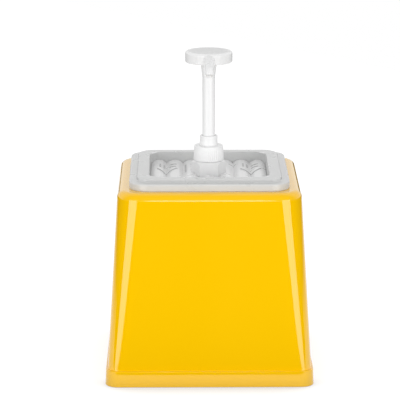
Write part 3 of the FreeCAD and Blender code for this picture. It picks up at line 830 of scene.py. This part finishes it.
def spout(size):
    """Tapered spout out of the knob, which turns down at its end and has an open bore."""
    axis_z = HEAD_HIGH.z - size.spout_drop
    bend_y, bend_z = -size.spout_straight, axis_z - size.spout_bend
    start, rows, bend_rows = 0.004, 24, 10
    swell, swell_reach = 0.0009, 0.0012
    path = []
    for step in range(rows + 1):
        y = start + (size.spout_straight - start) * step / rows
        radius = size.spout_root + (size.spout_tip - size.spout_root) * y / size.spout_straight
        beyond = y - size.knob_radius
        if beyond > -0.001:
            radius += swell * math.exp(-max(beyond, 0) / swell_reach)
        path.append((-y, axis_z, 0.0, radius))

    def on_bend(step, radius):
        """A ring of the bend, from 0 at its start to bend_rows at the tip."""
        angle = size.spout_turn * step / bend_rows
        y = bend_y - size.spout_bend * math.sin(angle)
        return y, bend_z + size.spout_bend * math.cos(angle), angle, radius

    path += [on_bend(step, size.spout_tip) for step in range(1, bend_rows + 1)]
    y, z, turn, radius = path[-1]
    ahead_y, ahead_z = -math.cos(turn), -math.sin(turn)
    lip = 0.0004
    for angle in turns(0, 90, 4):
        out = lip * math.sin(angle)
        path.append((y + ahead_y * out, z + ahead_z * out, turn, radius - lip * (1 - math.cos(angle))))
    bore, bore_chamfer, bore_reach = 0.0024, 0.0002, 0.012
    path.append((y + ahead_y * lip, z + ahead_z * lip, turn, bore + bore_chamfer))
    path += [on_bend(step, bore) for step in reversed(range(bend_rows))]
    path.append((bend_y + bore_reach, axis_z, 0.0, bore))
    return skin("spout", tube_rings(path, 64), capped=True)


class DISPENSER_OT_pump_head(bpy.types.Operator):
    """Build the press knob with its hub and spout"""

    bl_idname = "dispenser.pump_head"
    bl_label = "Pump head"

    def execute(self, context):
        size = context.scene.dispenser.head
        head = carved(knob_and_hub(size), spout(size))
        smooth(head, 35)
        placed(head, "head", "white_plastic", pump_white(), "pump_head")
        return {"FINISHED"}


class DISPENSER_OT_inner_pump(bpy.types.Operator):
    """Finish the white pump parts that keep their CAD shape"""

    bl_idname = "dispenser.inner_pump"
    bl_label = "Stem, piston and cylinder"

    def execute(self, context):
        for node in ("pump_body", "piston", "stem"):
            coated(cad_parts[node], pump_white())
        return {"FINISHED"}


# ---- stage -------------------------------------------------------------------------------------
def add_camera(size):
    """Long lens from the front and above."""
    camera = bpy.data.objects.new("camera", bpy.data.cameras.new("camera"))
    camera.data.sensor_width = SENSOR_WIDTH
    camera.data.lens = size.lens
    camera.data.clip_end = 100.0
    camera.location = CAMERA_AT
    aim = Vector(CAMERA_AIM) - camera.location
    camera.rotation_euler = aim.to_track_quat("-Z", "Y").to_euler()
    bpy.context.collection.objects.link(camera)
    bpy.context.scene.camera = camera


def floor_finish(size):
    """Floor that glows white to the eye, with a painted contact shadow next to the foot, and lights the piece
    weakly.
    """
    side = size.floor_width / 2
    ground = Finish("floor_white")
    camera_ray, glossy_ray, clear_ray = ground.rays()
    edge = ground.remap(abs(ground.along("X")), 0.5 * side, side, 1.0, 0.0)
    seen = camera_ray.larger(glossy_ray * edge).larger(clear_ray)
    # Painted shadow: the glow dims where ambient occlusion finds the foot near, most of all in front.
    foot_occlusion = ground.node("ShaderNodeAmbientOcclusion", {"samples": 8}, {"Distance": 0.045}, "AO")
    front = ground.remap(ground.along("Y"), HOUSING_LOW.y, HOUSING_LOW.y + 0.03, 1.0, 0.25)
    contact = 1 - ground.remap(foot_occlusion, 0.5, 0.9, 1.0 - size.contact_shade, 0.0) * front
    glow = ground.blend(contact, shade(BLACK, 1.0), shade(WHITE, 1.0))
    return ground.surface(
        Base_Color=shade(WHITE, 0.32), Roughness=0.9, Specular_IOR_Level=0.0,
        Emission_Color=ground.blend(seen, shade(BLACK, 1.0), glow), Emission_Strength=size.floor_glow,
    )


def add_floor(size):
    """Pale floor that widens to the back, just under the foot."""
    side = size.floor_width / 2
    near, far_left, far_right = -size.floor_front, 4 * side, 1.25 * side
    corners = [(-side, near, 0), (side, near, 0), (side, far_right, 0), (-side, far_left, 0)]
    mesh = bpy.data.meshes.new("floor")
    mesh.from_pydata(corners, [], [(0, 1, 2, 3)])
    floor = bpy.data.objects.new("floor", mesh)
    bpy.context.collection.objects.link(floor)
    floor.location.z = -0.0001
    coated(floor, floor_finish(size))


def add_world(size):
    """White backdrop, even light with a little more from above, and a dimmer world for gloss."""
    world = bpy.data.worlds.new("studio")
    bpy.context.scene.world = world
    world.use_nodes = True
    studio = Finish(None, world.node_tree)
    camera_ray, glossy_ray, clear_ray = studio.rays()
    clear = camera_ray.larger(clear_ray)
    height, depth = studio.along("Z"), studio.along("Y")
    backdrop = studio.remap(depth, -0.2, 0.3, size.dark_front, 1.0)
    mirrored = studio.remap(height, -0.02, 0.02, size.dark_side, 1.0) * backdrop
    lighting = size.fill + studio.remap(height, 0.0, 1.0, 0.0, size.overhead)
    level = clear + (1 - clear) * (glossy_ray * mirrored + (1 - glossy_ray) * lighting)
    background = world.node_tree.nodes["Background"]
    background.inputs["Color"].default_value = shade(WHITE, 1.0)
    studio.feed(background.inputs["Strength"], level)


def area_light(name, at, towards, width, height, power):
    """White rectangular light at a point, facing another."""
    lamp = bpy.data.lights.new(name, "AREA")
    lamp.shape = "RECTANGLE"
    lamp.size = width
    lamp.size_y = height
    lamp.energy = power
    light = bpy.data.objects.new(name, lamp)
    light.location = at
    light.rotation_euler = (Vector(towards) - Vector(at)).to_track_quat("-Z", "Y").to_euler()
    bpy.context.collection.objects.link(light)


class DISPENSER_OT_stage(bpy.types.Operator):
    """Set up the camera, the pale floor, the white background and the soft light"""

    bl_idname = "dispenser.stage"
    bl_label = "Stage"

    def execute(self, context):
        size = context.scene.dispenser.stage
        context.scene.view_settings.view_transform = "Standard"
        add_camera(size)
        add_floor(size)
        add_world(size)
        target = (0, 0, 0.12)
        for side, name in ((-1, "left_softbox"), (1, "right_softbox")):
            area_light(name, (0.95 * side, -1.29, 0.2), target, 1.08, 0.8, size.front_power)
        area_light("front_strip", (0.019, -1.6, 0.42), (0.019, 0, 0.42), 0.226, 0.5, size.strip_power)
        return {"FINISHED"}


# ---- panel and registration --------------------------------------------------------------------
OPERATORS = (
    DISPENSER_OT_stage,
    DISPENSER_OT_housing,
    DISPENSER_OT_lid,
    DISPENSER_OT_container,
    DISPENSER_OT_inner_pump,
    DISPENSER_OT_screw_cap,
    DISPENSER_OT_pump_head,
)
SETTINGS = (HousingSettings, LidSettings, CapSettings, HeadSettings, StageSettings, DispenserSettings)


class DISPENSER_PT_pieces(bpy.types.Panel):
    """Sizes, colours and build buttons of the dispenser"""

    bl_idname = "DISPENSER_PT_pieces"
    bl_label = "Sauce pump dispenser"
    bl_space_type = "VIEW_3D"
    bl_region_type = "UI"
    bl_category = "Dispenser"

    def draw(self, context):
        settings = context.scene.dispenser
        for part in ("housing", "lid", "cap", "head", "stage"):
            box = self.layout.box()
            box.label(text=part.capitalize())
            group = getattr(settings, part)
            for field in group.bl_rna.properties:
                if not field.is_readonly and field.identifier != "name":
                    box.prop(group, field.identifier)
        for operator in OPERATORS:
            self.layout.operator(operator.bl_idname)


def register():
    """Makes the settings, the operators and the panel known to Blender."""
    for part in (*SETTINGS, *OPERATORS, DISPENSER_PT_pieces):
        bpy.utils.register_class(part)
    bpy.types.Scene.dispenser = PointerProperty(type=DispenserSettings)


def unregister():
    """Takes them away again."""
    del bpy.types.Scene.dispenser
    for part in reversed((*SETTINGS, *OPERATORS, DISPENSER_PT_pieces)):
        bpy.utils.unregister_class(part)


def main():
    """Builds everything with the panel's own buttons."""
    register()
    for operator in OPERATORS:
        group, name = operator.bl_idname.split(".")
        getattr(getattr(bpy.ops, group), name)()


if __name__ == "__main__":
    main()
